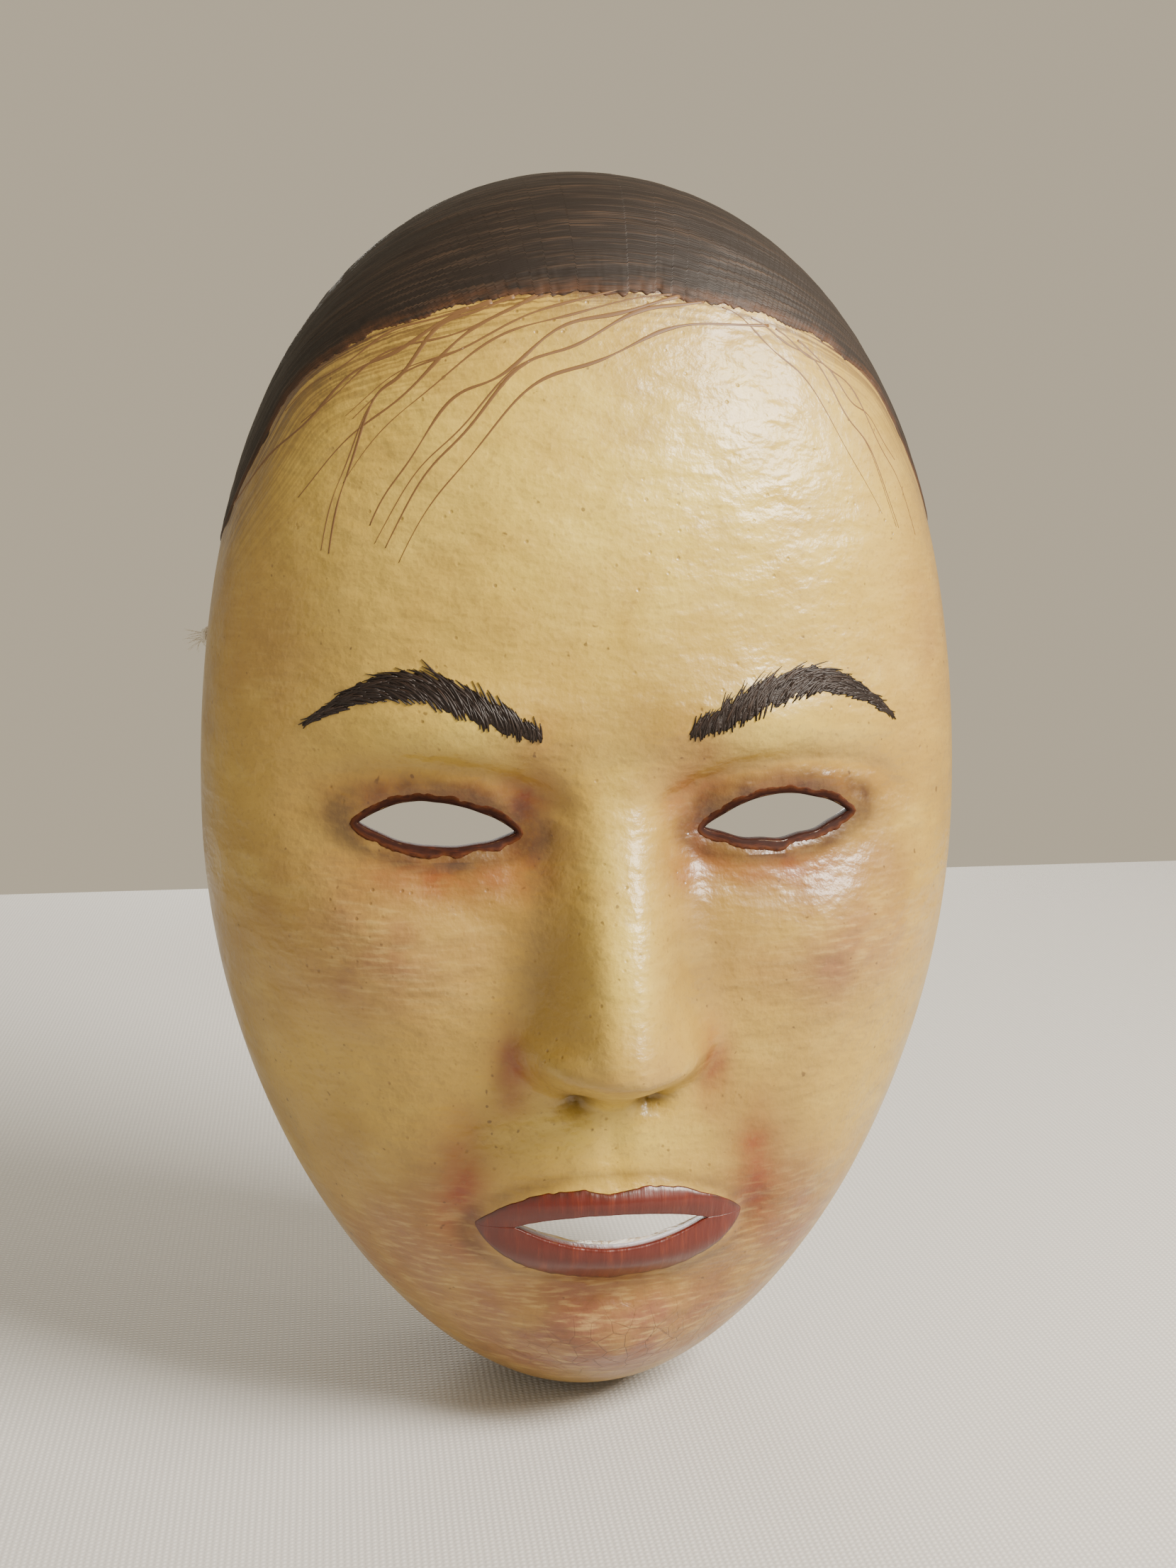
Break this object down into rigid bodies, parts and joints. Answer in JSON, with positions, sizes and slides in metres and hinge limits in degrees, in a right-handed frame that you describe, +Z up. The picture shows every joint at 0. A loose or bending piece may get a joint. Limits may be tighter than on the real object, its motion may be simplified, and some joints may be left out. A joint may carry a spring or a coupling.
{
  "type": "noh mask",
  "caption": "Moulded paper face mask in the noh manner, with painted hair and lips, open eyes and mouth, lined inside, with fit pads and a head cord.",
  "frame": {"origin": "centre of the cut rim, in the plane where the mask meets the wearer's face", "axes": "+Z up the face from chin to crown, +Y out of the back of the mask towards the wearer, +X towards the right side as seen by someone who looks the mask in the face"},
  "size_m": [0.1546, 0.0878, 0.241],
  "materials": {
    "painted_shell": "satin",
    "lining_paper": "matte",
    "rim_tape": "matte",
    "hair_paint": "satin",
    "brow_paint": "satin",
    "eye_band_paint": "satin",
    "lip_paint": "satin",
    "pad_cloth": "matte",
    "patch_paper": "matte",
    "cord_braid": "matte"
  },
  "bodies": {
    "root": {"face_shell": "painted_shell", "paper_lining": "lining_paper", "rim_binding": "rim_tape", "hair_paint": "hair_paint", "brow_left": "brow_paint", "brow_right": "brow_paint", "eye_band_left": "eye_band_paint", "eye_band_right": "eye_band_paint", "lip_upper": "lip_paint", "lip_lower": "lip_paint", "forehead_pad": "pad_cloth", "cheek_pad_left": "pad_cloth", "cheek_pad_right": "pad_cloth", "temple_patch_left": "patch_paper", "temple_patch_right": "patch_paper", "cord_knot_left": "cord_braid", "cord_knot_right": "cord_braid", "head_cord": "cord_braid"}
  },
  "joints": []
}
